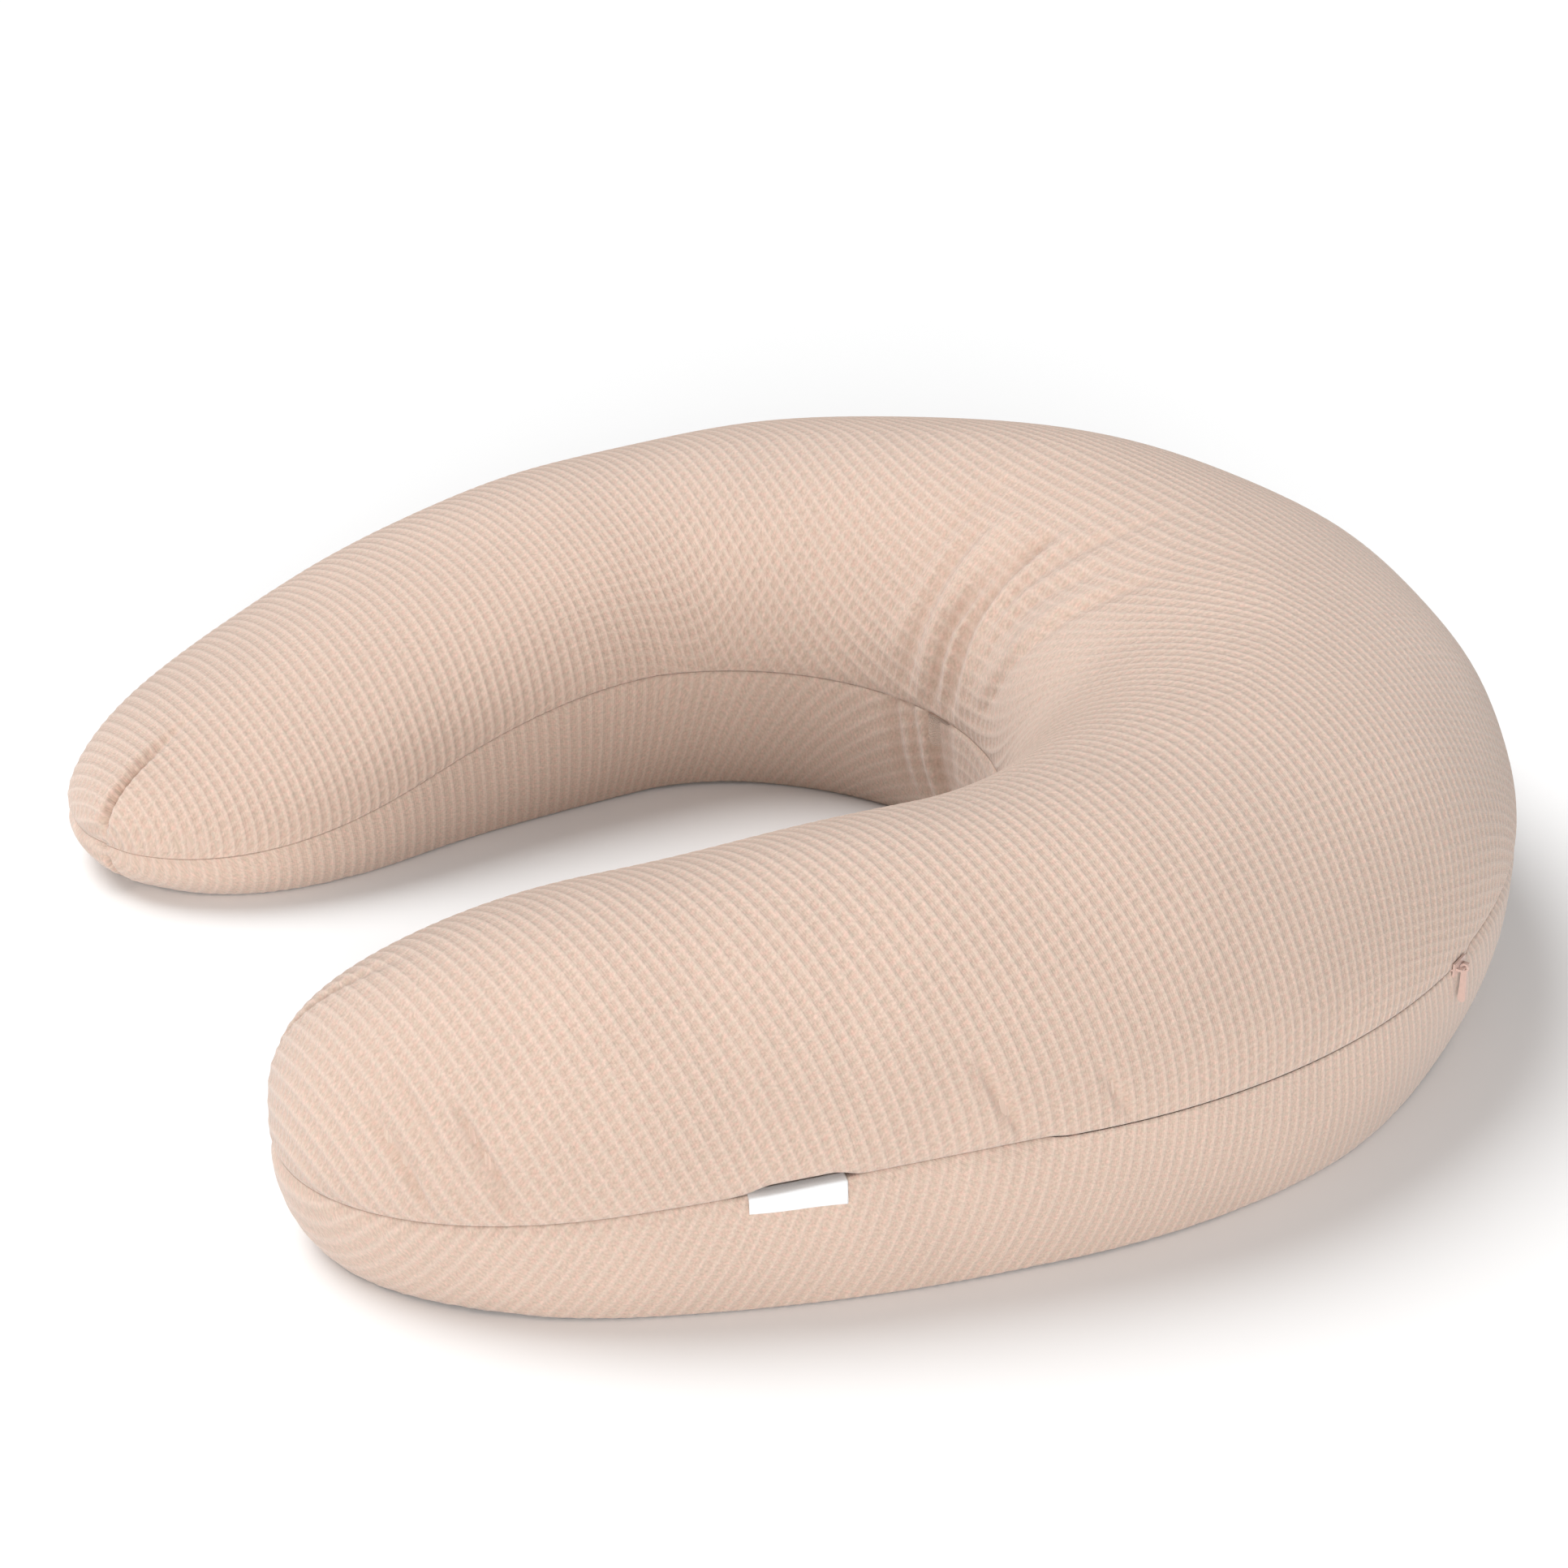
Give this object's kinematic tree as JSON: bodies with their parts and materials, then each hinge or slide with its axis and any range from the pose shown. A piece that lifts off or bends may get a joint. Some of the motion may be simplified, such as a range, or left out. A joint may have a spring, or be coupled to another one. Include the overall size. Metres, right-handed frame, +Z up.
{
  "type": "nursing pillow",
  "caption": "Thick C-shaped feeding pillow in a removable waffle-knit cover with a concealed zip, for resting a baby or a back on.",
  "frame": {"origin": "middle of the outline seen from above, on the surface that the pillow lies on", "axes": "+Z up from that surface; +X towards the back of the bend, so the C opens towards -X; the thicker arm is on the -Y side"},
  "size_m": [0.641, 0.6494, 0.172],
  "materials": {
    "cover_knit": "waffle knit, heathered beige-blush, matt",
    "thread": "matt spun thread",
    "zip_tape": "woven tape",
    "zip_coil": "satin nylon",
    "zip_metal": "light pink lacquer",
    "label_tape": "white woven satin tape",
    "liner_cloth": "plain white woven cloth",
    "fibre_fill": "white polyester fibre"
  },
  "bodies": {
    "pillow": {"cover_top_panel": "cover_knit", "cover_bottom_panel": "cover_knit", "cover_overlock_thread": "thread", "dart_thread_near_top": "thread", "dart_thread_near_bottom": "thread", "dart_thread_far_top": "thread", "dart_thread_far_bottom": "thread", "liner_top_panel": "liner_cloth", "liner_bottom_panel": "liner_cloth", "liner_overlock_thread": "thread", "filling": "fibre_fill", "zip_tape_upper": "zip_tape", "zip_tape_lower": "zip_tape", "zip_coil_upper": "zip_coil", "zip_coil_lower": "zip_coil", "zip_top_stop": "zip_metal", "zip_bottom_stop": "zip_metal", "woven_label": "label_tape", "care_label": "label_tape"},
    "slider": {"zip_slider": "zip_metal"},
    "pull_tab": {"zip_pull_tab": "zip_metal"}
  },
  "joints": [
    {"name": "zip_slide", "type": "hinge", "parent": "pillow", "child": "slider", "pos_m": [-0.00285, 0.00075, 0.0695], "axis": [0, 0, -1], "range_deg": [0, 38]},
    {"name": "tab_swing", "type": "hinge", "parent": "slider", "child": "pull_tab", "pos_m": [0.17894, -0.27383, 0.0695], "axis": [-0.8338, -0.552, 0], "range_deg": [-5, 175]}
  ]
}
